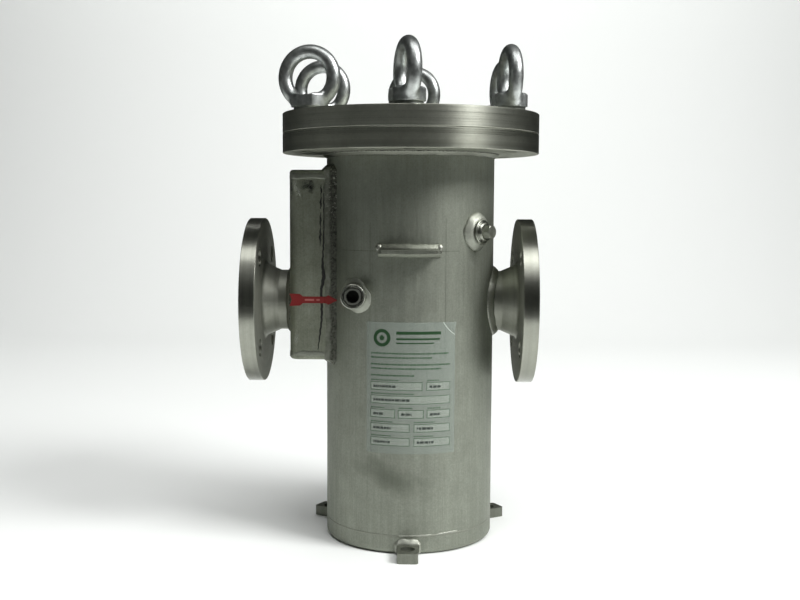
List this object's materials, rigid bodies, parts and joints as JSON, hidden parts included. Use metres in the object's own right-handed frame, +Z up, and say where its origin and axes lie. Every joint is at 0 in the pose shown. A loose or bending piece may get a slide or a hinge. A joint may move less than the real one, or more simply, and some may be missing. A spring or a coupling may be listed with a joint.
{
  "type": "basket strainer",
  "caption": "Simplex basket strainer: flanged pipe vessel on foot lugs, side inlet chamber, bolted cover with eye nuts and a lift-out perforated basket.",
  "frame": {"origin": "vessel axis in the plane that the feet stand on", "axes": "+Z up along the vessel, +X from the inlet flange to the outlet flange, -Y the front with the ports"},
  "size_m": [0.2925, 0.268, 0.4858],
  "materials": {
    "shell_steel": "pickled",
    "flange_steel": "turned",
    "cover_steel": "turned",
    "eye_steel": "polished",
    "washer_steel": "stamped",
    "stud_steel": "rolled",
    "port_steel": "turned",
    "basket_steel": "satin",
    "lining_steel": "woven wire",
    "gasket_fibre": "matt",
    "plug_seal": "matt"
  },
  "bodies": {
    "vessel": {"vessel_shell": "shell_steel", "bottom_plate": "shell_steel", "chamber_wall": "shell_steel", "chamber_top_plate": "shell_steel", "chamber_bottom_plate": "shell_steel", "gauge_bracket": "shell_steel", "basket_seat_ring": "shell_steel", "foot_lug_front": "shell_steel", "foot_lug_right": "shell_steel", "foot_lug_left": "shell_steel", "body_flange": "flange_steel", "inlet_flange": "flange_steel", "outlet_flange": "flange_steel", "cover_studs": "stud_steel", "cover_gasket": "gasket_fibre", "seat_gasket": "gasket_fibre", "lower_port_socket": "port_steel", "upper_port_socket": "port_steel", "lower_port_plug": "port_steel", "upper_port_plug": "port_steel", "drain_plug": "port_steel", "lower_port_seal": "plug_seal", "upper_port_seal": "plug_seal", "drain_seal": "plug_seal"},
    "cover": {"cover_plate": "cover_steel", "vent_plug": "port_steel", "vent_seal": "plug_seal"},
    "basket": {"basket_rim": "basket_steel", "basket_screen": "basket_steel", "basket_lining": "lining_steel", "basket_floor": "basket_steel", "basket_ears": "basket_steel"},
    "bail": {"basket_bail": "basket_steel"},
    "washer_1": {"washer_1": "washer_steel"},
    "eye_nut_1": {"eye_nut_1": "eye_steel"},
    "washer_2": {"washer_2": "washer_steel"},
    "eye_nut_2": {"eye_nut_2": "eye_steel"},
    "washer_3": {"washer_3": "washer_steel"},
    "eye_nut_3": {"eye_nut_3": "eye_steel"},
    "washer_4": {"washer_4": "washer_steel"},
    "eye_nut_4": {"eye_nut_4": "eye_steel"},
    "washer_5": {"washer_5": "washer_steel"},
    "eye_nut_5": {"eye_nut_5": "eye_steel"},
    "washer_6": {"washer_6": "washer_steel"},
    "eye_nut_6": {"eye_nut_6": "eye_steel"}
  },
  "joints": [
    {"name": "cover_lift", "type": "slide", "parent": "vessel", "child": "cover", "axis": [0, 0, 1], "range_m": [0, 0.48]},
    {"name": "basket_lift", "type": "slide", "parent": "vessel", "child": "basket", "axis": [0, 0, 1], "range_m": [0, 0.37]},
    {"name": "bail_swing", "type": "hinge", "parent": "basket", "child": "bail", "pos_m": [0, 0, 0.2983], "axis": [0, 1, 0], "range_deg": [0, 180]},
    {"name": "washer_1_rise", "type": "slide", "parent": "cover", "child": "washer_1", "axis": [0, 0, 1], "range_m": [0, 0.0121]},
    {"name": "eye_nut_1_turn", "type": "hinge", "parent": "washer_1", "child": "eye_nut_1", "pos_m": [0.09649, 0.05282, 0.4268], "axis": [0, 0, 1], "range_deg": [0, 2160]},
    {"name": "washer_2_rise", "type": "slide", "parent": "cover", "child": "washer_2", "axis": [0, 0, 1], "range_m": [0, 0.0121]},
    {"name": "eye_nut_2_turn", "type": "hinge", "parent": "washer_2", "child": "eye_nut_2", "pos_m": [0.0025, 0.10997, 0.4268], "axis": [0, 0, 1], "range_deg": [0, 2160]},
    {"name": "washer_3_rise", "type": "slide", "parent": "cover", "child": "washer_3", "axis": [0, 0, 1], "range_m": [0, 0.0121]},
    {"name": "eye_nut_3_turn", "type": "hinge", "parent": "washer_3", "child": "eye_nut_3", "pos_m": [-0.09399, 0.05715, 0.4268], "axis": [0, 0, 1], "range_deg": [0, 2160]},
    {"name": "washer_4_rise", "type": "slide", "parent": "cover", "child": "washer_4", "axis": [0, 0, 1], "range_m": [0, 0.0121]},
    {"name": "eye_nut_4_turn", "type": "hinge", "parent": "washer_4", "child": "eye_nut_4", "pos_m": [-0.09649, -0.05282, 0.4268], "axis": [0, 0, 1], "range_deg": [0, 2160]},
    {"name": "washer_5_rise", "type": "slide", "parent": "cover", "child": "washer_5", "axis": [0, 0, 1], "range_m": [0, 0.0121]},
    {"name": "eye_nut_5_turn", "type": "hinge", "parent": "washer_5", "child": "eye_nut_5", "pos_m": [-0.0025, -0.10997, 0.4268], "axis": [0, 0, 1], "range_deg": [0, 2160]},
    {"name": "washer_6_rise", "type": "slide", "parent": "cover", "child": "washer_6", "axis": [0, 0, 1], "range_m": [0, 0.0121]},
    {"name": "eye_nut_6_turn", "type": "hinge", "parent": "washer_6", "child": "eye_nut_6", "pos_m": [0.09399, -0.05715, 0.4268], "axis": [0, 0, 1], "range_deg": [0, 2160]}
  ],
  "couplings": [
    {"joint": "basket_lift", "follows": "cover_lift", "ratio": 0.75},
    {"joint": "washer_1_rise", "follows": "eye_nut_1_turn", "m_per_rad": 0.00031831},
    {"joint": "washer_2_rise", "follows": "eye_nut_2_turn", "m_per_rad": 0.00031831},
    {"joint": "washer_3_rise", "follows": "eye_nut_3_turn", "m_per_rad": 0.00031831},
    {"joint": "washer_4_rise", "follows": "eye_nut_4_turn", "m_per_rad": 0.00031831},
    {"joint": "washer_5_rise", "follows": "eye_nut_5_turn", "m_per_rad": 0.00031831},
    {"joint": "washer_6_rise", "follows": "eye_nut_6_turn", "m_per_rad": 0.00031831}
  ]
}
